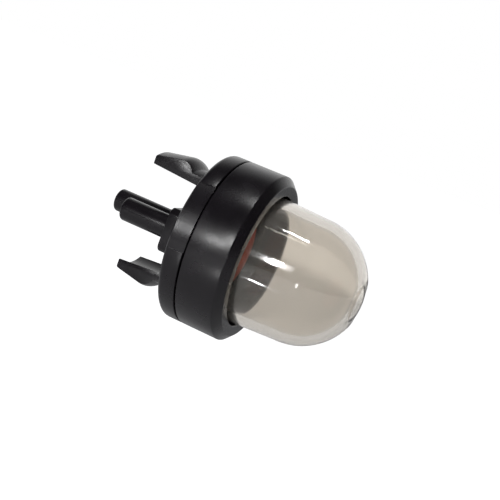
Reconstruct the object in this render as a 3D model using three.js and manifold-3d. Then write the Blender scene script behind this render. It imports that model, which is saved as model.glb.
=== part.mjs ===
// Snap-in fuel primer bulb: a moulded base with two snap legs and two hose nipples, a retaining
// collar that clamps the clear bulb's flange on the base, and the rubber check valve inside.
// Millimetres. +X runs along the axis from the seating face out through the bulb's crown, +Z runs
// through the two snap legs, and the inlet nipple stands off the axis towards -Y.
import * as THREE from 'three';
import { mergeVertices } from 'three/addons/utils/BufferGeometryUtils.js';
import Module from 'manifold-3d';

const wasm = await Module();
wasm.setup();

// Rounds and fits
const SEGMENTS = 64;
const NIPPLE_SEGMENTS = 32;
const ARC_STEPS = 5;
const FIT_GAP = 0.15;
const PARTING_GAP = 0.3;
const SINK = 0.4;

// Base: rim, deck and snap bead
const RING_RADIUS = 11.1;
const RIM_HEIGHT = 2.5;
const REAR_ROUND = 0.7;
const DECK_X = 4.5;
const DECK_RADIUS = 9.75;
const PLATFORM_X = 5.2;
const PLATFORM_GAP = 0.35;
const BEAD_X = 3.75;
const BEAD_HEIGHT = 0.22;
const BEAD_HALF_WIDTH = 0.4;

// Base: index recess in the rim, angles measured from -Y towards +Z
const RECESS_START_DEG = -5;
const RECESS_END_DEG = 41.5;
const RECESS_DEPTH = 0.16;

// Base: snap legs
const LEG_HALF_WIDTH = 3.07;
const LEG_LENGTH = 8.45;
const LEG_ROOT_INNER = 6.6;
const LEG_TIP_INNER = 7.2;
const LEG_NECK_RADIUS = 7.85;
const LEG_TIP_RADIUS = 8.25;
const BARB_RADIUS = 8.9;
const BARB_PEAK_X = -4.9;
const NECK_LENGTH = 3.1;

// Base: hose nipples and the boss they stand on
const NIPPLE_SPACING = 4.3;
const OUTLET_LENGTH = 12.75;
const INLET_LENGTH = 9.5;
const NIPPLE_RADIUS = 1.53;
const NIPPLE_END_ROUND = 0.4;
const NIPPLE_BORE_RADIUS = 0.7;
const BOSS_HALF_WIDTH = 2.85;
const BOSS_HEIGHT = 2.6;
const BOSS_END_REACH = 2.6;
const BOSS_CORNER = 1.0;

// Retaining collar
const COLLAR_EDGE_X = 7.69;
const COLLAR_FRONT_X = 8.6;
const COLLAR_LAND_RADIUS = 10.12;
const MOUTH_GAP = 0.3;
const MOUTH_ROUND = 0.25;

// Bulb
const BULB_ROOT_RADIUS = 8.44;
const BULB_RADIUS = 8.16;
const BULB_WALL = 1.2;
const FLANGE_RADIUS = 9.6;
const FLANGE_THICKNESS = 1.2;
const DOME_START_X = 14.3;
const DOME_HEIGHT = 8.05;
const TIP_DISC_RADIUS = 2.8;
const TIP_DISC_DEPTH = 0.15;
const DOME_STEPS = 11;

// Check valve: umbrella disc on a hollow duckbill stem
const UMBRELLA_RADIUS = 4.5;
const UMBRELLA_RIM = 0.65;
const UMBRELLA_CROWN = 1.0;
const STEM_RADIUS = 1.05;
const STEM_HOLE_RADIUS = 0.45;
const STEM_LENGTH = 2.6;
const DUCKBILL_LENGTH = 1.5;
const DUCKBILL_THICKNESS = 0.7;
const DUCKBILL_SLIT = 0.16;
const DUCKBILL_WEB = 0.7;
const BULGE_RADIUS = 1.45;
const BULGE_LENGTH = 0.8;

// Passages in the deck
const NECK_THICKNESS = 1.3;
const GALLERY_INNER = 2.2;
const GALLERY_OUTER = 3.9;
const GALLERY_DEPTH = 1.3;
const INLET_ROOF = 0.6;

const BLACK_PLASTIC = new THREE.MeshStandardMaterial({ color: 0x28252a, roughness: 0.38, metalness: 0.0 });
const CLEAR_URETHANE = new THREE.MeshStandardMaterial({ color: 0xcfc8ba, roughness: 0.12, metalness: 0.0 });
CLEAR_URETHANE.transparent = true;
CLEAR_URETHANE.opacity = 0.4;
const RED_RUBBER = new THREE.MeshStandardMaterial({ color: 0x8c4038, roughness: 0.6, metalness: 0.0 });

// A closed geometry as a solid that can be joined and cut
function solid(geometry) {
  const bare = geometry.clone();
  bare.deleteAttribute('normal');
  bare.deleteAttribute('uv');
  const merged = mergeVertices(bare, 1e-5);
  const mesh = new wasm.Mesh({
    numProp: 3,
    vertProperties: new Float32Array(merged.attributes.position.array),
    triVerts: new Uint32Array(merged.index.array),
  });
  return new wasm.Manifold(mesh);
}

// A solid back as a geometry
function geometryOf(manifold) {
  const mesh = manifold.getMesh();
  const geometry = new THREE.BufferGeometry();
  geometry.setAttribute('position', new THREE.BufferAttribute(new Float32Array(mesh.vertProperties), 3));
  geometry.setIndex(new THREE.BufferAttribute(new Uint32Array(mesh.triVerts), 1));
  geometry.computeVertexNormals();
  return geometry;
}

// Turns an outline of [x, radius] points about the X axis
function turned(outline, segments = SEGMENTS) {
  const points = outline.map(([x, radius]) => new THREE.Vector2(radius, x));
  const geometry = new THREE.LatheGeometry(points, segments);
  geometry.rotateZ(-Math.PI / 2);
  return geometry;
}

// Points of an arc about [x, radius], from one angle to the other; 0 degrees is +X, 90 is outwards
function arc(centreX, centreRadius, size, fromDeg, toDeg, steps = ARC_STEPS) {
  const points = [];
  for (let i = 0; i <= steps; i += 1) {
    const angle = THREE.MathUtils.degToRad(fromDeg + ((toDeg - fromDeg) * i) / steps);
    points.push([centreX + size * Math.cos(angle), centreRadius + size * Math.sin(angle)]);
  }
  return points;
}

// A closed outline, so that the turned surface closes on itself
function closed(outline) {
  return [...outline, outline[0]];
}

// A box between two corners
function block(low, high) {
  const geometry = new THREE.BoxGeometry(high[0] - low[0], high[1] - low[1], high[2] - low[2]);
  geometry.translate((low[0] + high[0]) / 2, (low[1] + high[1]) / 2, (low[2] + high[2]) / 2);
  return solid(geometry);
}

// A round rod along X, standing at the given Y
function rod(fromX, toX, radius, y = 0, segments = 24) {
  const outline = [[fromX, 0], [fromX, radius], [toX, radius], [toX, 0]];
  const geometry = turned(outline, segments);
  geometry.translate(0, y, 0);
  return solid(geometry);
}

// The ring between two radii
function washer(fromX, toX, inner, outer) {
  return solid(turned(closed([[fromX, inner], [fromX, outer], [toX, outer], [toX, inner]])));
}

// The base's rim and deck, with the bead that the collar snaps over and the valve's platform
function baseBody() {
  const platformRadius = BULB_ROOT_RADIUS - BULB_WALL - PLATFORM_GAP;
  const outline = [
    [0, 0],
    [0, RING_RADIUS - REAR_ROUND],
    ...arc(REAR_ROUND, RING_RADIUS - REAR_ROUND, REAR_ROUND, 165, 90, 4),
    [RIM_HEIGHT, RING_RADIUS],
    [RIM_HEIGHT, DECK_RADIUS],
    [BEAD_X - BEAD_HALF_WIDTH, DECK_RADIUS],
    [BEAD_X, DECK_RADIUS + BEAD_HEIGHT],
    [BEAD_X + BEAD_HALF_WIDTH, DECK_RADIUS],
    [DECK_X, DECK_RADIUS],
    [DECK_X, platformRadius],
    [PLATFORM_X, platformRadius],
    [PLATFORM_X, 0],
  ];
  return solid(turned(outline));
}

// The shallow recess in the rim, cut between two half planes through the axis
function indexRecess() {
  const reach = 2 * RING_RADIUS;
  const ring = washer(-1, RIM_HEIGHT + PARTING_GAP, RING_RADIUS - RECESS_DEPTH, RING_RADIUS + 1);
  const start = THREE.MathUtils.degToRad(RECESS_START_DEG);
  const end = THREE.MathUtils.degToRad(RECESS_END_DEG);
  const sector = new THREE.Shape();
  sector.moveTo(0, 0);
  sector.lineTo(-reach * Math.sin(start), -reach * Math.cos(start));
  sector.lineTo(-reach * Math.sin(end), -reach * Math.cos(end));
  sector.closePath();
  const wedge = new THREE.ExtrudeGeometry(sector, { depth: RIM_HEIGHT + 3, bevelEnabled: false });
  wedge.rotateY(Math.PI / 2);
  wedge.translate(-2, 0, 0);
  return ring.intersect(solid(wedge));
}

// One ring with a snap leg's section; the two legs are the slices of it above and below the axis
function legRing() {
  const barbRound = BARB_RADIUS - LEG_NECK_RADIUS + 0.6;
  const centreRadius = BARB_RADIUS - barbRound;
  const drop = LEG_NECK_RADIUS - centreRadius;
  const centreX = -NECK_LENGTH - Math.sqrt(barbRound * barbRound - drop * drop);
  const shoulderEnd = THREE.MathUtils.radToDeg(Math.asin(drop / barbRound));
  const wedgeSlope = Math.atan2(BARB_RADIUS - LEG_TIP_RADIUS, LEG_LENGTH + BARB_PEAK_X);
  const outline = [
    [SINK, LEG_ROOT_INNER],
    [-LEG_LENGTH, LEG_TIP_INNER],
    [-LEG_LENGTH, LEG_TIP_RADIUS],
    ...arc(centreX, centreRadius, barbRound, 90 + THREE.MathUtils.radToDeg(wedgeSlope), shoulderEnd, 7),
    [SINK, LEG_NECK_RADIUS],
  ];
  return solid(turned(closed(outline)));
}

function snapLegs() {
  const reach = BARB_RADIUS + 1;
  const rear = -LEG_LENGTH - 1;
  const slice = block([rear, -LEG_HALF_WIDTH, 0], [1, LEG_HALF_WIDTH, reach]);
  const lowerSlice = block([rear, -LEG_HALF_WIDTH, -reach], [1, LEG_HALF_WIDTH, 0]);
  const ring = legRing();
  return ring.intersect(slice).add(ring.intersect(lowerSlice));
}

// The rounded boss that carries both nipples
function nippleBoss() {
  const plan = new THREE.Shape();
  plan.moveTo(BOSS_HALF_WIDTH, 0);
  plan.absarc(0, 0, BOSS_HALF_WIDTH, 0, Math.PI, false);
  const cornerY = -NIPPLE_SPACING - BOSS_END_REACH + BOSS_CORNER;
  const cornerZ = BOSS_HALF_WIDTH - BOSS_CORNER;
  plan.absarc(-cornerZ, cornerY, BOSS_CORNER, Math.PI, 1.5 * Math.PI, false);
  plan.absarc(cornerZ, cornerY, BOSS_CORNER, 1.5 * Math.PI, 2 * Math.PI, false);
  plan.closePath();
  const geometry = new THREE.ExtrudeGeometry(plan, {
    depth: BOSS_HEIGHT + SINK,
    bevelEnabled: false,
    curveSegments: 16,
  });
  geometry.rotateY(Math.PI / 2);
  geometry.translate(-BOSS_HEIGHT, 0, 0);
  return solid(geometry);
}

// A plain hose nipple with a rounded end
function nipple(length, y) {
  const outline = [
    [-length, 0],
    ...arc(-length + NIPPLE_END_ROUND, NIPPLE_RADIUS - NIPPLE_END_ROUND, NIPPLE_END_ROUND, 180, 90, 4),
    [SINK, NIPPLE_RADIUS],
    [SINK, 0],
  ];
  const geometry = turned(outline, NIPPLE_SEGMENTS);
  geometry.translate(0, y, 0);
  return solid(geometry);
}

// The passages: the outlet bore with the valve stem's pocket, and the inlet bore with its gallery
function passages() {
  const stemDepth = STEM_LENGTH + DUCKBILL_LENGTH + 2 * FIT_GAP;
  const neck = rod(PLATFORM_X - NECK_THICKNESS - 1, PLATFORM_X + 1, STEM_RADIUS + FIT_GAP);
  const pocket = rod(PLATFORM_X - stemDepth, PLATFORM_X - NECK_THICKNESS, BULGE_RADIUS + FIT_GAP).add(neck);
  const outlet = rod(-OUTLET_LENGTH - 1, PLATFORM_X, NIPPLE_BORE_RADIUS);
  const inlet = rod(-INLET_LENGTH - 1, PLATFORM_X - INLET_ROOF, NIPPLE_BORE_RADIUS, -NIPPLE_SPACING);
  const gallery = washer(PLATFORM_X - GALLERY_DEPTH, PLATFORM_X + 1, GALLERY_INNER, GALLERY_OUTER);
  return pocket.add(outlet).add(inlet).add(gallery);
}

function base() {
  const body = baseBody().subtract(indexRecess());
  const nipples = nipple(OUTLET_LENGTH, 0).add(nipple(INLET_LENGTH, -NIPPLE_SPACING));
  return geometryOf(body.add(snapLegs()).add(nippleBoss()).add(nipples).subtract(passages()));
}

// The collar: a skirt round the deck, a shoulder on the bulb's flange and a bevelled front edge
function retainingCollar() {
  const skirtRadius = DECK_RADIUS + FIT_GAP;
  const grooveRadius = skirtRadius + BEAD_HEIGHT;
  const mouthRadius = BULB_ROOT_RADIUS + MOUTH_GAP;
  const shoulderX = DECK_X + FLANGE_THICKNESS;
  const outline = [
    [RIM_HEIGHT + PARTING_GAP, skirtRadius],
    [RIM_HEIGHT + PARTING_GAP, RING_RADIUS],
    [COLLAR_EDGE_X, RING_RADIUS],
    [COLLAR_FRONT_X, COLLAR_LAND_RADIUS],
    ...arc(COLLAR_FRONT_X - MOUTH_ROUND, mouthRadius + MOUTH_ROUND, MOUTH_ROUND, 0, -90, 3),
    [shoulderX, mouthRadius],
    [shoulderX, skirtRadius],
    [BEAD_X + BEAD_HALF_WIDTH + FIT_GAP, skirtRadius],
    [BEAD_X, grooveRadius + FIT_GAP],
    [BEAD_X - BEAD_HALF_WIDTH - FIT_GAP, skirtRadius],
  ];
  return turned(closed(outline));
}

// A dome's outline between two radii, from the rim towards the tip
function domeArc(radius, height, fromRadius, toRadius, steps) {
  const first = Math.acos(fromRadius / radius);
  const last = Math.acos(toRadius / radius);
  const points = [];
  for (let i = 0; i <= steps; i += 1) {
    const angle = first + ((last - first) * i) / steps;
    points.push([DOME_START_X + height * Math.sin(angle), radius * Math.cos(angle)]);
  }
  return points;
}

// The bulb: a flange, a slightly tapered wall and a domed crown with a shallow round dimple at its tip
function bulb() {
  const innerRadius = BULB_RADIUS - BULB_WALL;
  const outer = domeArc(BULB_RADIUS, DOME_HEIGHT, BULB_RADIUS, TIP_DISC_RADIUS, DOME_STEPS);
  const dimpleEdge = TIP_DISC_RADIUS - 2 * TIP_DISC_DEPTH;
  const dimple = domeArc(BULB_RADIUS, DOME_HEIGHT - TIP_DISC_DEPTH, dimpleEdge, 0, 4);
  const inner = domeArc(innerRadius, DOME_HEIGHT - BULB_WALL, innerRadius, 0, DOME_STEPS);
  dimple[dimple.length - 1][1] = 0;
  inner[inner.length - 1][1] = 0;
  const flangeTop = DECK_X + FLANGE_THICKNESS;
  const outline = [
    ...inner.reverse(),
    [DECK_X, BULB_ROOT_RADIUS - BULB_WALL],
    [DECK_X, FLANGE_RADIUS],
    [flangeTop, FLANGE_RADIUS],
    [flangeTop, BULB_ROOT_RADIUS],
    [COLLAR_FRONT_X, BULB_ROOT_RADIUS],
    ...outer,
    ...dimple,
  ];
  return turned(outline);
}

// The duckbill's wedge: its two flats meet the slit at the stem's end
function lipWedge(stemEnd, lipEnd) {
  const side = new THREE.Shape();
  side.moveTo(lipEnd - 0.01, -DUCKBILL_THICKNESS / 2);
  side.lineTo(stemEnd, -STEM_RADIUS);
  side.lineTo(PLATFORM_X + 1, -STEM_RADIUS);
  side.lineTo(PLATFORM_X + 1, STEM_RADIUS);
  side.lineTo(stemEnd, STEM_RADIUS);
  side.lineTo(lipEnd - 0.01, DUCKBILL_THICKNESS / 2);
  side.closePath();
  const geometry = new THREE.ExtrudeGeometry(side, { depth: 4 * STEM_RADIUS, bevelEnabled: false });
  geometry.rotateX(Math.PI / 2);
  geometry.translate(0, 2 * STEM_RADIUS, 0);
  return solid(geometry);
}

// The check valve: an umbrella disc that covers the inlet gallery, on a stem with duckbill lips
function checkValve() {
  const stemEnd = PLATFORM_X - STEM_LENGTH;
  const lipEnd = stemEnd - DUCKBILL_LENGTH;
  const head = solid(turned([
    [PLATFORM_X, 0],
    [PLATFORM_X, UMBRELLA_RADIUS],
    [PLATFORM_X + UMBRELLA_RIM, UMBRELLA_RADIUS],
    [PLATFORM_X + UMBRELLA_CROWN, UMBRELLA_RADIUS / 2],
    [PLATFORM_X + UMBRELLA_CROWN, 0],
  ]));
  const shank = rod(lipEnd, PLATFORM_X + UMBRELLA_RIM / 2, STEM_RADIUS).intersect(lipWedge(stemEnd, lipEnd));
  const collarStart = PLATFORM_X - NECK_THICKNESS - FIT_GAP;
  const bulge = rod(collarStart - BULGE_LENGTH, collarStart, BULGE_RADIUS);
  const hole = rod(lipEnd + DUCKBILL_WEB, PLATFORM_X + 2, STEM_HOLE_RADIUS, 0, 16);
  const slit = block(
    [lipEnd - 1, -STEM_HOLE_RADIUS, -DUCKBILL_SLIT / 2],
    [stemEnd, STEM_HOLE_RADIUS, DUCKBILL_SLIT / 2],
  );
  return geometryOf(head.add(shank).add(bulge).subtract(hole).subtract(slit));
}

const part = new THREE.Group();

function addPiece(name, geometry, material) {
  const mesh = new THREE.Mesh(geometry, material);
  mesh.name = name;
  part.add(mesh);
}

addPiece('base', base(), BLACK_PLASTIC);
addPiece('retaining_collar', retainingCollar(), BLACK_PLASTIC);
addPiece('bulb', bulb(), CLEAR_URETHANE);
addPiece('check_valve', checkValve(), RED_RUBBER);

export default part;
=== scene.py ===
"""Snap-in primer bulb: a clear bulb in a black ring with snap legs, nipples and a red valve."""
import math

import bmesh
import bpy
from mathutils import Matrix, Vector


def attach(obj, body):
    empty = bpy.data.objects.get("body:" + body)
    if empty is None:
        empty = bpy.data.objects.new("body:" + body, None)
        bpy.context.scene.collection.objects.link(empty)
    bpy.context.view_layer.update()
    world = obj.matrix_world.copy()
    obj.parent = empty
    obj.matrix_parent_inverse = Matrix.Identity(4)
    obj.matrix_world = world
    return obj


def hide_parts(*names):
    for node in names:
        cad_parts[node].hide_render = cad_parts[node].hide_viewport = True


bl_info = {
    "name": "Primer bulb",
    "version": (1, 0, 0),
    "blender": (4, 5, 0),
    "location": "View3D > Sidebar > Primer bulb",
    "description": "Builds a snap-in primer bulb around its packed frame",
    "category": "Add Mesh",
}

MM = 0.001

# Fixed sizes of the pieces, in millimetres, that the sidebar doesn't show
SINK = 0.4
FIT_GAP = 0.15
FINE_ROUND = 0.12
SOFT_ROUND = 0.2
REAR_ROUND = 0.7
DECK_FOOT_ROUND = 0.1
STEM_HOLE = 1.2
RECESS_DEPTH = 0.16
BOSS_EDGE_ROUND = 0.18
NIPPLE_END_ROUND = 0.4
COLLAR_EDGE_ROUND = 0.3
COLLAR_LAND_ROUND = 0.25
FLANGE_FOOT_ROUND = 0.15
FLANGE_ROOT_ROUND = 0.25
DIMPLE_EDGE = 0.8
LEG_EDGE_ROUND = 0.1

# The index recess, as angles from -Y towards +Z
RECESS_START_DEG = -5.0
RECESS_END_DEG = 41.5
RECESS_SPARE = 0.1

# Steps of the round shapes
SPIN_STEPS = 144
RECESS_STEPS = 32
LEG_STEPS = 36
CREST_STEPS = 12
BOSS_STEPS = 64
NIPPLE_STEPS = 48
BULB_STEPS = 160
DOME_STEPS = 26
VALVE_STEPS = 96
NEAR_ZERO = 1e-7

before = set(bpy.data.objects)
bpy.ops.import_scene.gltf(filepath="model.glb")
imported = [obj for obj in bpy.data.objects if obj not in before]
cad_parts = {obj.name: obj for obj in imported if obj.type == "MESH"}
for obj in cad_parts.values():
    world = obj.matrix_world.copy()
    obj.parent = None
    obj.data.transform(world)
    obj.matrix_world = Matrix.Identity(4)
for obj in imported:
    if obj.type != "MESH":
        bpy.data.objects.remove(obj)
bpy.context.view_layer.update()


def size(name, description, millimetres):
    """A length that the sidebar shows, given here in millimetres."""
    return bpy.props.FloatProperty(
        name=name,
        description=description,
        default=millimetres * MM,
        min=0.0,
        precision=5,
        subtype="DISTANCE",
        unit="LENGTH",
    )


def colour(name, description, rgb):
    """A surface colour that the sidebar shows."""
    return bpy.props.FloatVectorProperty(
        name=name,
        description=description,
        default=rgb,
        min=0.0,
        max=1.0,
        size=3,
        subtype="COLOR",
    )


class PrimerRingSizes(bpy.types.PropertyGroup):
    """The black ring: base rim, deck and retaining collar."""

    radius: size("Ring radius", "Outside radius of the base rim and the collar", 11.1)
    rim_front: size("Rim front", "Where the base rim ends, from the seating face", 2.45)
    collar_rear: size("Collar rear", "Where the collar starts, from the seating face", 2.66)
    deck_front: size("Deck front", "Where the bulb's flange sits, from the seating face", 4.5)
    deck_radius: size("Deck radius", "Radius of the deck inside the collar", 9.75)
    platform_front: size("Platform front", "Where the valve sits, from the seating face", 5.2)
    platform_radius: size("Platform radius", "Radius of the valve's platform", 6.89)
    collar_edge: size("Collar edge", "Where the collar's bevel starts", 7.69)
    collar_front: size("Collar front", "Front face of the collar", 8.6)
    land_radius: size("Land radius", "Outside radius of the collar's narrow front face", 10.12)
    mouth_radius: size("Mouth radius", "Radius of the collar's opening round the bulb", 8.74)


class PrimerBulbSizes(bpy.types.PropertyGroup):
    """The clear bulb."""

    root_radius: size("Root radius", "Outside radius where the bulb leaves the collar", 8.44)
    radius: size("Dome radius", "Outside radius where the dome starts", 8.16)
    wall: size("Wall", "Thickness of the bulb's wall", 1.2)
    flange_radius: size("Flange radius", "Outside radius of the clamped flange", 9.6)
    flange: size("Flange thickness", "Thickness of the clamped flange", 1.2)
    dome_start: size("Dome start", "Where the dome starts, from the seating face", 14.3)
    dome: size("Dome height", "Height of the dome", 8.05)
    dimple: size("Dimple radius", "Radius of the shallow dimple at the tip", 2.8)
    dimple_depth: size("Dimple depth", "Depth of the shallow dimple at the tip", 0.15)


class PrimerFittingSizes(bpy.types.PropertyGroup):
    """Snap legs, nipples and valve."""

    leg_half_width: size("Leg half width", "Half the width of a snap leg", 3.07)
    leg_length: size("Leg length", "Length of a snap leg behind the seating face", 8.45)
    barb_radius: size("Barb radius", "Distance from the axis to the top of a barb", 8.9)
    nipple_radius: size("Nipple radius", "Outside radius of a hose nipple", 1.53)
    bore_radius: size("Bore radius", "Radius of a nipple's bore", 0.7)
    nipple_spacing: size("Nipple spacing", "Distance between the two nipples", 4.3)
    outlet_length: size("Outlet length", "Length of the long nipple behind the seating face", 12.75)
    inlet_length: size("Inlet length", "Length of the short nipple behind the seating face", 9.5)
    boss_half_width: size("Boss half width", "Half the width of the boss under the nipples", 2.85)
    boss_height: size("Boss height", "Height of the boss under the nipples", 2.6)
    boss_end_reach: size("Boss end reach", "From the inlet nipple's centre to the boss's end", 2.6)
    boss_corner: size("Boss corner", "Rounding of the boss's near corners", 1.0)
    valve_radius: size("Valve radius", "Radius of the red umbrella disc", 4.5)


class PrimerColours(bpy.types.PropertyGroup):
    """The colours of the three materials."""

    plastic: colour("Black plastic", "Colour of the base and the collar", (0.007, 0.0055, 0.0075))
    urethane: colour("Clear urethane", "Tint of the clear bulb", (0.78, 0.74, 0.68))
    rubber: colour("Red rubber", "Colour of the check valve", (0.5, 0.1, 0.06))


def deselect():
    """Leaves nothing selected, so that the next step acts on the new piece alone."""
    if bpy.context.object and bpy.context.object.mode != "OBJECT":
        bpy.ops.object.mode_set(mode="OBJECT")
    bpy.ops.object.select_all(action="DESELECT")


def bend_points(centre, start_angle, sweep, radius, steps):
    """Points of an arc, angles in radians."""
    points = []
    for step in range(steps + 1):
        angle = start_angle + sweep * step / steps
        x = centre[0] + radius * math.cos(angle)
        points.append((x, centre[1] + radius * math.sin(angle)))
    return points


def softened(corners, steps=5):
    """Rounds the corners of an outline of (x, radius, rounding) points in millimetres."""
    points = []
    for index, (x, radius, rounding) in enumerate(corners):
        here = Vector((x, radius))
        if not rounding:
            points.append((x, radius))
            continue
        before = (Vector(corners[index - 1][:2]) - here).normalized()
        after = (Vector(corners[(index + 1) % len(corners)][:2]) - here).normalized()
        half = before.angle(after) / 2
        reach = rounding / math.tan(half)
        centre = here + (before + after).normalized() * (rounding / math.sin(half))
        first = here + before * reach - centre
        last = here + after * reach - centre
        start_angle = math.atan2(first.y, first.x)
        sweep = math.atan2(last.y, last.x) - start_angle
        sweep = (sweep + math.pi) % (2 * math.pi) - math.pi
        points.extend(bend_points(centre, start_angle, sweep, rounding, steps))
    return points


def drawn(name, points, closed, around=0.0):
    """Draws an outline of (x, radius) points in millimetres, turned about X from +Z towards -Y."""
    deselect()
    across = Vector((0.0, -math.sin(around), math.cos(around)))
    places = [Vector((x, 0.0, 0.0)) * MM + across * (radius * MM) for x, radius in points]
    bpy.ops.mesh.primitive_plane_add(size=MM, location=(0.0, 0.0, 0.0))
    piece = bpy.context.object
    piece.name = name
    piece.data.name = name
    bpy.ops.object.mode_set(mode="EDIT")
    bpy.ops.mesh.merge(type="CENTER")
    bpy.ops.transform.translate(value=places[0])
    for here, there in zip(places, places[1:]):
        bpy.ops.mesh.extrude_region_move(TRANSFORM_OT_translate={"value": there - here})
    bpy.ops.mesh.select_all(action="SELECT")
    if closed:
        work = bmesh.from_edit_mesh(piece.data)
        work.verts.ensure_lookup_table()
        bpy.ops.mesh.select_all(action="DESELECT")
        ends = [vert for vert in work.verts if len(vert.link_edges) == 1]
        for vert in ends:
            vert.select = True
        bmesh.update_edit_mesh(piece.data)
        bpy.ops.mesh.edge_face_add()
        bpy.ops.mesh.select_all(action="SELECT")
    return piece


def turned(name, points, closed, around=0.0, sweep=2 * math.pi, steps=SPIN_STEPS):
    """Spins an outline about the X axis into a solid."""
    piece = drawn(name, points, closed, around)
    bpy.ops.mesh.spin(steps=steps, angle=-sweep, center=(0.0, 0.0, 0.0), axis=(1.0, 0.0, 0.0))
    bpy.ops.mesh.select_all(action="SELECT")
    bpy.ops.mesh.remove_doubles(threshold=0.002 * MM)
    bpy.ops.mesh.normals_make_consistent(inside=False)
    bpy.ops.object.mode_set(mode="OBJECT")
    return piece


def trimmed(piece, point, outwards):
    """Cuts away what lies on the outer side of a plane and closes the cut; point in millimetres."""
    deselect()
    piece.select_set(True)
    bpy.context.view_layer.objects.active = piece
    bpy.ops.object.mode_set(mode="EDIT")
    bpy.ops.mesh.select_all(action="SELECT")
    bpy.ops.mesh.bisect(
        plane_co=Vector(point) * MM,
        plane_no=outwards,
        use_fill=True,
        clear_outer=True,
        threshold=0.0005 * MM,
    )
    bpy.ops.mesh.select_all(action="SELECT")
    bpy.ops.mesh.normals_make_consistent(inside=False)
    bpy.ops.object.mode_set(mode="OBJECT")


def apply_modifier(piece, kind, **settings):
    """Adds a modifier with these settings and applies it."""
    deselect()
    piece.select_set(True)
    bpy.context.view_layer.objects.active = piece
    bpy.ops.object.modifier_add(type=kind)
    modifier = piece.modifiers[-1]
    for key, value in settings.items():
        setattr(modifier, key, value)
    bpy.ops.object.modifier_apply(modifier=modifier.name)


def edges_rounded(piece, width, segments=3, degrees=35.0):
    """Rounds every sharp edge of a piece by a width in millimetres."""
    apply_modifier(
        piece,
        "BEVEL",
        width=width * MM,
        segments=segments,
        limit_method="ANGLE",
        angle_limit=math.radians(degrees),
        use_clamp_overlap=True,
    )


def cut_by(piece, cutter):
    """Cuts one solid out of another and removes the cutter."""
    apply_modifier(piece, "BOOLEAN", operation="DIFFERENCE", solver="EXACT", object=cutter)
    bpy.data.objects.remove(cutter)


def settled(piece):
    """Puts the piece's own origin at the frame's origin, unturned and unscaled."""
    deselect()
    piece.select_set(True)
    bpy.context.view_layer.objects.active = piece
    bpy.ops.object.transform_apply(location=True, rotation=True, scale=True)


def finished(piece, slot, node, smooth_degrees=32.0):
    """Smooths a finished piece, gives it its slot's material and registers it."""
    settled(piece)
    bpy.ops.object.shade_smooth_by_angle(angle=math.radians(smooth_degrees))
    piece.data.materials.clear()
    piece.data.materials.append(finish_for(slot))
    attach(piece, "root")
    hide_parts(node)


class Wiring:
    """A small helper that adds nodes to one material or world and joins them."""

    def __init__(self, tree):
        self.tree = tree
        self.tree.nodes.clear()

    def add(self, kind, settings=(), inputs=()):
        """Adds a node, sets its properties and its unlinked inputs."""
        node = self.tree.nodes.new(kind)
        for key, value in dict(settings).items():
            setattr(node, key, value)
        for key, value in dict(inputs).items():
            node.inputs[key].default_value = value
        return node

    def join(self, source, target):
        """Joins one socket to another."""
        self.tree.links.new(source, target)


def new_material(name):
    """An empty node material with its wiring."""
    material = bpy.data.materials.new(name)
    material.use_nodes = True
    return material, Wiring(material.node_tree)


def ramp(wiring, low, high, low_value, high_value):
    """A colour ramp between two greys or colours."""
    node = wiring.add("ShaderNodeValToRGB")
    node.color_ramp.elements[0].position = low
    node.color_ramp.elements[0].color = low_value
    node.color_ramp.elements[1].position = high
    node.color_ramp.elements[1].color = high_value
    return node


def grey(value):
    """A grey as a colour with alpha."""
    return (value, value, value, 1.0)


def shade(rgb, factor):
    """A colour made darker or lighter, with alpha."""
    return (*[min(1.0, part * factor) for part in rgb], 1.0)


def noise(wiring, coordinates, scale, detail, roughness=0.55):
    """A noise texture on the object's own coordinates; scale in waves per metre."""
    node = wiring.add(
        "ShaderNodeTexNoise", {}, {"Scale": scale, "Detail": detail, "Roughness": roughness}
    )
    wiring.join(coordinates.outputs["Object"], node.inputs["Vector"])
    return node


def bump(wiring, height, strength, distance):
    """A bump of a height socket; distance in millimetres."""
    node = wiring.add("ShaderNodeBump", {}, {"Strength": strength, "Distance": distance * MM})
    wiring.join(height, node.inputs["Height"])
    return node


def black_plastic(rgb):
    """Moulded black nylon: nearly black, satin, with a fine grain and a little uneven gloss."""
    material, wiring = new_material("moulded_black")
    output = wiring.add("ShaderNodeOutputMaterial")
    skin = wiring.add("ShaderNodeBsdfPrincipled", {}, {"Specular IOR Level": 0.4, "IOR": 1.5})
    coordinates = wiring.add("ShaderNodeTexCoord")
    clouds = noise(wiring, coordinates, 260.0, 4.0)
    grain = noise(wiring, coordinates, 5200.0, 3.0, 0.6)
    tint = ramp(wiring, 0.3, 0.75, shade(rgb, 0.8), shade(rgb, 1.35))
    gloss = ramp(wiring, 0.25, 0.8, grey(0.2), grey(0.32))
    relief = bump(wiring, grain.outputs["Fac"], 0.25, 0.02)
    wiring.join(clouds.outputs["Fac"], tint.inputs["Fac"])
    wiring.join(clouds.outputs["Fac"], gloss.inputs["Fac"])
    wiring.join(tint.outputs["Color"], skin.inputs["Base Color"])
    wiring.join(gloss.outputs["Color"], skin.inputs["Roughness"])
    wiring.join(relief.outputs["Normal"], skin.inputs["Normal"])
    wiring.join(skin.outputs["BSDF"], output.inputs["Surface"])
    return material


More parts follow.
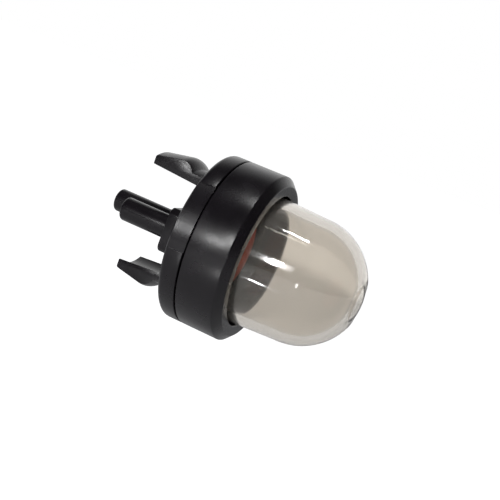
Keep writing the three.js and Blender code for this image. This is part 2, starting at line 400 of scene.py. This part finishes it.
def clear_urethane(rgb):
    """Clear, faintly warm and slightly hazy urethane with a soft moulded surface."""
    material, wiring = new_material("clear_bulb_skin")
    output = wiring.add("ShaderNodeOutputMaterial")
    skin = wiring.add(
        "ShaderNodeBsdfPrincipled",
        {},
        {"Base Color": (*rgb, 1.0), "Transmission Weight": 0.94, "IOR": 1.46},
    )
    coordinates = wiring.add("ShaderNodeTexCoord")
    clouds = noise(wiring, coordinates, 180.0, 3.0)
    waves = noise(wiring, coordinates, 420.0, 2.0, 0.4)
    gloss = ramp(wiring, 0.3, 0.75, grey(0.04), grey(0.08))
    relief = bump(wiring, waves.outputs["Fac"], 0.12, 0.05)
    wiring.join(clouds.outputs["Fac"], gloss.inputs["Fac"])
    wiring.join(gloss.outputs["Color"], skin.inputs["Roughness"])
    wiring.join(relief.outputs["Normal"], skin.inputs["Normal"])
    wiring.join(skin.outputs["BSDF"], output.inputs["Surface"])
    return material


def red_rubber(rgb):
    """Matt brick-red rubber with a mottled, slightly dusty surface."""
    material, wiring = new_material("brick_rubber")
    output = wiring.add("ShaderNodeOutputMaterial")
    skin = wiring.add("ShaderNodeBsdfPrincipled", {}, {"Specular IOR Level": 0.35})
    coordinates = wiring.add("ShaderNodeTexCoord")
    clouds = noise(wiring, coordinates, 900.0, 4.0)
    grain = noise(wiring, coordinates, 4200.0, 2.0)
    tint = ramp(wiring, 0.3, 0.75, shade(rgb, 0.82), shade(rgb, 1.3))
    gloss = ramp(wiring, 0.3, 0.7, grey(0.5), grey(0.68))
    relief = bump(wiring, grain.outputs["Fac"], 0.3, 0.03)
    wiring.join(clouds.outputs["Fac"], tint.inputs["Fac"])
    wiring.join(grain.outputs["Fac"], gloss.inputs["Fac"])
    wiring.join(tint.outputs["Color"], skin.inputs["Base Color"])
    wiring.join(gloss.outputs["Color"], skin.inputs["Roughness"])
    wiring.join(relief.outputs["Normal"], skin.inputs["Normal"])
    wiring.join(skin.outputs["BSDF"], output.inputs["Surface"])
    return material


FINISHES = {
    "black_plastic": ("moulded_black", black_plastic, "plastic"),
    "clear_urethane": ("clear_bulb_skin", clear_urethane, "urethane"),
    "red_rubber": ("brick_rubber", red_rubber, "rubber"),
}


def finish_for(slot):
    """The material of a slot, made once from the colour in the sidebar."""
    name, maker, picker = FINISHES[slot]
    ready = bpy.data.materials.get(name)
    return ready or maker(tuple(getattr(bpy.context.scene.primer_colours, picker)))


class PRIMER_OT_base(bpy.types.Operator):
    """Makes the base rim and deck with its index recess"""

    bl_idname = "primer.base"
    bl_label = "Base rim"

    def execute(self, context):
        ring = context.scene.primer_ring
        radius, front = ring.radius / MM, ring.rim_front / MM
        deck, top = ring.deck_radius / MM, ring.deck_front / MM
        platform, platform_radius = ring.platform_front / MM, ring.platform_radius / MM
        corners = [
            (0.0, STEM_HOLE, 0.0),
            (0.0, radius, REAR_ROUND),
            (front, radius, FINE_ROUND),
            (front, deck, DECK_FOOT_ROUND),
            (top, deck, SOFT_ROUND),
            (top, platform_radius, 0.0),
            (platform, platform_radius, SOFT_ROUND),
            (platform, STEM_HOLE, 0.0),
        ]
        piece = turned("base_rim", softened(corners), closed=True)
        start, end = math.radians(RECESS_START_DEG), math.radians(RECESS_END_DEG)
        behind, ahead = -0.5, front + 0.2
        floor, outside = radius - RECESS_DEPTH, radius + 1.0
        groove = [(behind, floor), (behind, outside), (ahead, outside), (ahead, floor)]
        turn = math.radians(90.0) - end - RECESS_SPARE
        sweep = end - start + 2 * RECESS_SPARE
        cutter = turned("index_cutter", groove, True, turn, sweep, RECESS_STEPS)
        for angle, way in ((start, -1.0), (end, 1.0)):
            outwards = Vector((0.0, math.sin(angle), math.cos(angle))) * way
            trimmed(cutter, (0.0, 0.0, 0.0), outwards)
        cut_by(piece, cutter)
        finished(piece, "black_plastic", "base")
        return {"FINISHED"}


class PRIMER_OT_legs(bpy.types.Operator):
    """Makes the two snap legs with their barbs"""

    bl_idname = "primer.legs"
    bl_label = "Snap legs"

    def execute(self, context):
        sizes = context.scene.primer_fittings
        half_width, length = sizes.leg_half_width / MM, sizes.leg_length / MM
        barb = sizes.barb_radius / MM
        inner_root, inner_tip, neck, tip = 6.6, 7.2, 7.85, 8.25
        neck_length, barb_peak, barb_round = 3.1, 4.9, 1.65
        crest_radius = barb - barb_round
        drop = neck - crest_radius
        crest_x = -neck_length - math.sqrt(barb_round ** 2 - drop ** 2)
        ramp_tilt = math.atan2(barb - tip, length - barb_peak)
        crest_start = math.pi / 2 + ramp_tilt
        crest_end = math.asin(drop / barb_round)
        centre, sweep = (crest_x, crest_radius), crest_end - crest_start
        crest = bend_points(centre, crest_start, sweep, barb_round, CREST_STEPS)
        foot = softened([
            (SINK, inner_root, 0.0),
            (-length, inner_tip, 0.15),
            (-length, tip, 0.25),
            (*crest[0], 0.0),
        ])
        outline = foot + crest[1:] + [(SINK, neck)]
        spread = math.radians(32.0)
        for name, middle in (("snap_leg_upper", 0.0), ("snap_leg_lower", math.pi)):
            piece = turned(name, outline, True, middle - spread, 2 * spread, LEG_STEPS)
            trimmed(piece, (0.0, half_width, 0.0), (0.0, 1.0, 0.0))
            trimmed(piece, (0.0, -half_width, 0.0), (0.0, -1.0, 0.0))
            edges_rounded(piece, LEG_EDGE_ROUND, 2)
            finished(piece, "black_plastic", "base")
        return {"FINISHED"}


class PRIMER_OT_nipples(bpy.types.Operator):
    """Makes the boss and the two hose nipples"""

    bl_idname = "primer.nipples"
    bl_label = "Boss and nipples"

    def execute(self, context):
        sizes = context.scene.primer_fittings
        half_width, height = sizes.boss_half_width, sizes.boss_height
        spacing = sizes.nipple_spacing
        deselect()
        bpy.ops.mesh.primitive_circle_add(
            vertices=BOSS_STEPS,
            radius=half_width,
            fill_type="NGON",
            location=(SINK * MM, 0.0, 0.0),
            rotation=(0.0, math.pi / 2, 0.0),
        )
        boss = context.object
        boss.name = "nipple_boss"
        boss.data.name = "nipple_boss"
        settled(boss)
        reach = spacing + sizes.boss_end_reach
        corner = sizes.boss_corner
        shrink = corner / half_width
        for vert in boss.data.vertices:
            if vert.co.y < -NEAR_ZERO:
                off_middle = abs(vert.co.z) > NEAR_ZERO
                side = math.copysign(half_width - corner, vert.co.z) if off_middle else 0.0
                vert.co.z = vert.co.z * shrink + side
                vert.co.y = vert.co.y * shrink - reach + corner
        bpy.ops.object.mode_set(mode="EDIT")
        bpy.ops.mesh.select_all(action="SELECT")
        rise = (-height - SINK * MM, 0.0, 0.0)
        bpy.ops.mesh.extrude_region_move(TRANSFORM_OT_translate={"value": rise})
        bpy.ops.mesh.select_all(action="SELECT")
        bpy.ops.mesh.normals_make_consistent(inside=False)
        bpy.ops.object.mode_set(mode="OBJECT")
        edges_rounded(boss, BOSS_EDGE_ROUND)
        finished(boss, "black_plastic", "base")
        radius, bore = sizes.nipple_radius / MM, sizes.bore_radius / MM
        foot = -height / MM + SINK
        for name, length, place in (
            ("outlet_nipple", sizes.outlet_length / MM, 0.0),
            ("inlet_nipple", sizes.inlet_length / MM, -spacing),
        ):
            corners = [
                (foot, bore, 0.0),
                (-length, bore, FINE_ROUND),
                (-length, radius, NIPPLE_END_ROUND),
                (foot, radius, 0.0),
            ]
            piece = turned(name, softened(corners), True, steps=NIPPLE_STEPS)
            piece.location.y = place
            finished(piece, "black_plastic", "base")
        return {"FINISHED"}


class PRIMER_OT_collar(bpy.types.Operator):
    """Makes the retaining collar"""

    bl_idname = "primer.collar"
    bl_label = "Retaining collar"

    def execute(self, context):
        ring, bulb = context.scene.primer_ring, context.scene.primer_bulb
        skirt = ring.deck_radius / MM + FIT_GAP
        shoulder = (ring.deck_front + bulb.flange) / MM
        radius, mouth = ring.radius / MM, ring.mouth_radius / MM
        rear, front = ring.collar_rear / MM, ring.collar_front / MM
        corners = [
            (rear, skirt, 0.0),
            (rear, radius, FINE_ROUND),
            (ring.collar_edge / MM, radius, COLLAR_EDGE_ROUND),
            (front, ring.land_radius / MM, COLLAR_LAND_ROUND),
            (front, mouth, SOFT_ROUND),
            (shoulder, mouth, 0.0),
            (shoulder, skirt, 0.0),
        ]
        piece = turned("retaining_collar_shell", softened(corners), closed=True)
        finished(piece, "black_plastic", "retaining_collar")
        return {"FINISHED"}


class PRIMER_OT_bulb(bpy.types.Operator):
    """Makes the clear bulb with its flange and dimpled tip"""

    bl_idname = "primer.bulb"
    bl_label = "Clear bulb"

    def execute(self, context):
        sizes, ring = context.scene.primer_bulb, context.scene.primer_ring
        root, radius, wall = sizes.root_radius / MM, sizes.radius / MM, sizes.wall / MM
        start, dome = sizes.dome_start / MM, sizes.dome / MM
        dimple, depth = sizes.dimple / MM, sizes.dimple_depth / MM
        deck, flange_top = ring.deck_front / MM, ring.deck_front / MM + sizes.flange / MM
        flange_radius = sizes.flange_radius / MM
        inner = []
        for step in range(DOME_STEPS + 1):
            angle = math.pi / 2 * (1 - step / DOME_STEPS)
            across = max(0.0, (radius - wall) * math.cos(angle))
            inner.append((start + (dome - wall) * math.sin(angle), across))
        inner[0] = (inner[0][0], 0.0)
        outer = []
        for step in range(2 * DOME_STEPS + 1):
            angle = math.pi / 2 * step / (2 * DOME_STEPS)
            across = radius * math.cos(angle)
            blend = min(1.0, max(0.0, (dimple + DIMPLE_EDGE / 2 - across) / DIMPLE_EDGE))
            sunk = depth * blend * blend * (3 - 2 * blend)
            outer.append((start + dome * math.sin(angle) - sunk, across))
        outer[-1] = (outer[-1][0], 0.0)
        foot = softened([
            (*inner[-1], 0.0),
            (deck, root - wall, FLANGE_FOOT_ROUND),
            (deck, flange_radius, SOFT_ROUND),
            (flange_top, flange_radius, SOFT_ROUND),
            (flange_top, root, FLANGE_ROOT_ROUND),
            (ring.collar_front / MM, root, 0.0),
        ])
        outline = inner[:-1] + foot + outer
        piece = turned("clear_bulb", outline, closed=False, steps=BULB_STEPS)
        finished(piece, "clear_urethane", "bulb", 60.0)
        return {"FINISHED"}


class PRIMER_OT_valve(bpy.types.Operator):
    """Makes the red umbrella valve with its hollow stem and duckbill"""

    bl_idname = "primer.valve"
    bl_label = "Check valve"

    def execute(self, context):
        seat = context.scene.primer_ring.platform_front / MM
        radius = context.scene.primer_fittings.valve_radius / MM
        hole, stem, neck, mouth = 0.45, 1.05, 1.15, 0.35
        bill_end, bill_root, neck_end = seat - 4.1, seat - 3.4, seat - 2.25
        rim, crown = seat + 0.65, seat + 1.0
        corners = [
            (bill_end, mouth, 0.0),
            (bill_end, stem, 0.15),
            (neck_end, stem, 0.0),
            (neck_end, neck, 0.05),
            (seat, neck, 0.0),
            (seat, radius, 0.15),
            (rim, radius, 0.25),
            (crown, radius * 0.5, 0.6),
            (crown, hole, FINE_ROUND),
            (bill_root, hole, 0.0),
        ]
        piece = turned("umbrella_valve", softened(corners), closed=True, steps=VALVE_STEPS)
        finished(piece, "red_rubber", "check_valve")
        return {"FINISHED"}


# The photo's camera: place in millimetres, its three directions, and its lens
CAMERA_PLACE = (38.30, -106.73, 18.28)
CAMERA_RIGHT = (0.87869, 0.31907, 0.35510)
CAMERA_UP = (-0.38577, 0.03641, 0.92188)
CAMERA_BACK = (0.28121, -0.94704, 0.15508)
CAMERA_LENS = 64.51
SENSOR_WIDTH = 36.0
CLIP_START, CLIP_END = 0.005, 20.0

# Lamps: name, azimuth and elevation in degrees, distance, width and height in millimetres, watts
LAMP_AIM = (8.0, 0.0, 0.0)
LAMPS = (
    ("key_lamp", -10.6, 17.5, 320.0, 5.0, 50.0, 0.22),
    ("ring_lamp", -20.0, 9.5, 320.0, 24.0, 22.0, 0.15),
    ("top_lamp", -30.0, 73.0, 320.0, 34.0, 10.0, 0.16),
    ("low_lamp", -10.5, -23.5, 110.0, 4.0, 3.0, 0.006),
    ("floor_lamp", -2.8, -33.0, 85.0, 4.0, 3.0, 0.003),
    ("side_lamp", 9.0, -3.0, 320.0, 20.0, 40.0, 0.05),
)

# The room that is mirrored or seen through: white behind the object, dark towards the camera.
# Each fade is given by the cosine of the angle to the camera where it starts and ends.
DARK_MIRRORED = 0.05
DARK_THROUGH = 0.2
FADE_MIRRORED = (-0.85, -0.35)
FADE_THROUGH = (-0.5, 0.2)
ROOM_LIGHT = 0.35

# The floor: its side in metres, its drop in millimetres and its glow to the camera. What is seen
# of it through the bulb gets brighter between two distances in metres.
FLOOR_SIDE = 6.0
FLOOR_DROP = 45.0
FLOOR_GLOW = 0.78
BACKLIGHT_FADE = (0.28, 0.4)
BACKLIGHT = (0.76, 1.2)
WHITE = (1.0, 1.0, 1.0, 1.0)


def soft_lamp(name, azimuth, elevation, distance, width, height, watts):
    """A rectangular soft lamp that faces the object; azimuth 0 is the -Y side."""
    turn, rise = math.radians(azimuth), math.radians(elevation)
    level = math.cos(rise)
    away = Vector((math.sin(turn) * level, -math.cos(turn) * level, math.sin(rise)))
    place = (Vector(LAMP_AIM) + away * distance) * MM
    facing = away.to_track_quat("Z", "Y").to_euler()
    bpy.ops.object.light_add(type="AREA", location=place, rotation=facing)
    lamp = bpy.context.object
    lamp.name = name
    lamp.data.shape = "RECTANGLE"
    lamp.data.size = width * MM
    lamp.data.size_y = height * MM
    lamp.data.energy = watts


def fade(wiring, ends, first, last):
    """A value that goes evenly from one to another between two ends."""
    return wiring.add("ShaderNodeMapRange", {}, {1: ends[0], 2: ends[1], 3: first, 4: last})


def studio_world():
    """White to the camera and soft grey as a light; mirrored or seen through, dark in front."""
    world = bpy.data.worlds.new("studio")
    bpy.context.scene.world = world
    world.use_nodes = True
    wiring = Wiring(world.node_tree)
    output = wiring.add("ShaderNodeOutputWorld")
    path = wiring.add("ShaderNodeLightPath")
    coordinates = wiring.add("ShaderNodeTexCoord")
    front = wiring.add("ShaderNodeVectorMath", {"operation": "DOT_PRODUCT"}, {1: CAMERA_BACK})
    room = fade(wiring, FADE_MIRRORED, 1.0, DARK_MIRRORED)
    beyond = fade(wiring, FADE_THROUGH, 1.0, DARK_THROUGH)
    light = {"Color": (0.97, 0.98, 1.0, 1.0), "Strength": ROOM_LIGHT}
    soft = wiring.add("ShaderNodeBackground", {}, light)
    mirrored = wiring.add("ShaderNodeBackground", {}, {"Color": WHITE})
    through = wiring.add("ShaderNodeBackground", {}, {"Color": WHITE})
    white = wiring.add("ShaderNodeBackground", {}, {"Color": WHITE, "Strength": 1.0})
    wiring.join(coordinates.outputs["Generated"], front.inputs[0])
    for ranged, background in ((room, mirrored), (beyond, through)):
        wiring.join(front.outputs["Value"], ranged.inputs[0])
        wiring.join(ranged.outputs[0], background.inputs["Strength"])
    last = soft.outputs["Background"]
    for ray, background in (
        ("Is Glossy Ray", mirrored),
        ("Is Transmission Ray", through),
        ("Is Camera Ray", white),
    ):
        mix = wiring.add("ShaderNodeMixShader")
        wiring.join(path.outputs[ray], mix.inputs["Fac"])
        wiring.join(last, mix.inputs[1])
        wiring.join(background.outputs["Background"], mix.inputs[2])
        last = mix.outputs["Shader"]
    wiring.join(last, output.inputs["Surface"])


def floor_material():
    """A plain pale floor that keeps the object's shadow; seen through the bulb, it only glows."""
    material, wiring = new_material("pale_floor")
    output = wiring.add("ShaderNodeOutputMaterial")
    paint = wiring.add("ShaderNodeBsdfDiffuse", {}, {"Color": (0.8, 0.8, 0.8, 1.0)})
    glow = wiring.add("ShaderNodeEmission", {}, {"Color": WHITE})
    path = wiring.add("ShaderNodeLightPath")
    seen = wiring.add("ShaderNodeMath", {"operation": "MULTIPLY"}, {1: FLOOR_GLOW})
    both = wiring.add("ShaderNodeAddShader")
    place = wiring.add("ShaderNodeTexCoord")
    apart = wiring.add("ShaderNodeSeparateXYZ")
    far = fade(wiring, BACKLIGHT_FADE, *BACKLIGHT)
    backlight = wiring.add("ShaderNodeEmission", {}, {"Color": WHITE})
    behind_bulb = wiring.add("ShaderNodeMixShader")
    wiring.join(path.outputs["Is Camera Ray"], seen.inputs[0])
    wiring.join(seen.outputs["Value"], glow.inputs["Strength"])
    wiring.join(place.outputs["Object"], apart.inputs[0])
    wiring.join(apart.outputs["Y"], far.inputs[0])
    wiring.join(far.outputs[0], backlight.inputs["Strength"])
    wiring.join(paint.outputs["BSDF"], both.inputs[0])
    wiring.join(glow.outputs["Emission"], both.inputs[1])
    wiring.join(path.outputs["Is Transmission Ray"], behind_bulb.inputs["Fac"])
    wiring.join(both.outputs["Shader"], behind_bulb.inputs[1])
    wiring.join(backlight.outputs["Emission"], behind_bulb.inputs[2])
    wiring.join(behind_bulb.outputs["Shader"], output.inputs["Surface"])
    return material


class PRIMER_OT_stage(bpy.types.Operator):
    """Sets the floor, the world, the soft lamps and the camera"""

    bl_idname = "primer.stage"
    bl_label = "Stage"

    def execute(self, context):
        deselect()
        bpy.ops.mesh.primitive_plane_add(size=FLOOR_SIDE, location=(0.0, 0.0, -FLOOR_DROP * MM))
        floor = context.object
        floor.name = "floor"
        floor.data.materials.append(floor_material())
        studio_world()
        for lamp in LAMPS:
            soft_lamp(*lamp)
        facing = Matrix((CAMERA_RIGHT, CAMERA_UP, CAMERA_BACK)).transposed().to_euler()
        bpy.ops.object.camera_add(location=Vector(CAMERA_PLACE) * MM, rotation=facing)
        camera = context.object
        camera.name = "photo_camera"
        camera.data.lens = CAMERA_LENS
        camera.data.sensor_width = SENSOR_WIDTH
        camera.data.clip_start = CLIP_START
        camera.data.clip_end = CLIP_END
        context.scene.camera = camera
        context.scene.view_settings.view_transform = "Standard"
        return {"FINISHED"}


class PRIMER_PT_panel(bpy.types.Panel):
    """Lists the operators and the sizes in the sidebar"""

    bl_label = "Primer bulb"
    bl_idname = "PRIMER_PT_panel"
    bl_space_type = "VIEW_3D"
    bl_region_type = "UI"
    bl_category = "Primer bulb"

    def draw(self, context):
        for operator in OPERATORS:
            self.layout.operator(operator.bl_idname)
        for group in GROUPS:
            values = getattr(context.scene, group)
            box = self.layout.box()
            for key in values.__annotations__:
                box.prop(values, key)


GROUPS = {
    "primer_ring": PrimerRingSizes,
    "primer_bulb": PrimerBulbSizes,
    "primer_fittings": PrimerFittingSizes,
    "primer_colours": PrimerColours,
}
OPERATORS = (
    PRIMER_OT_base,
    PRIMER_OT_legs,
    PRIMER_OT_nipples,
    PRIMER_OT_collar,
    PRIMER_OT_bulb,
    PRIMER_OT_valve,
    PRIMER_OT_stage,
)
CLASSES = (*GROUPS.values(), *OPERATORS, PRIMER_PT_panel)


def register():
    """Registers the classes and their settings on the scene."""
    for cls in CLASSES:
        bpy.utils.register_class(cls)
    for name, group in GROUPS.items():
        setattr(bpy.types.Scene, name, bpy.props.PointerProperty(type=group))


def unregister():
    """Removes the settings and the classes."""
    for name in GROUPS:
        delattr(bpy.types.Scene, name)
    for cls in reversed(CLASSES):
        bpy.utils.unregister_class(cls)


def main():
    """Builds every piece and the stage."""
    register()
    bpy.ops.primer.base()
    bpy.ops.primer.legs()
    bpy.ops.primer.nipples()
    bpy.ops.primer.collar()
    bpy.ops.primer.bulb()
    bpy.ops.primer.valve()
    bpy.ops.primer.stage()


if __name__ == "__main__":
    main()
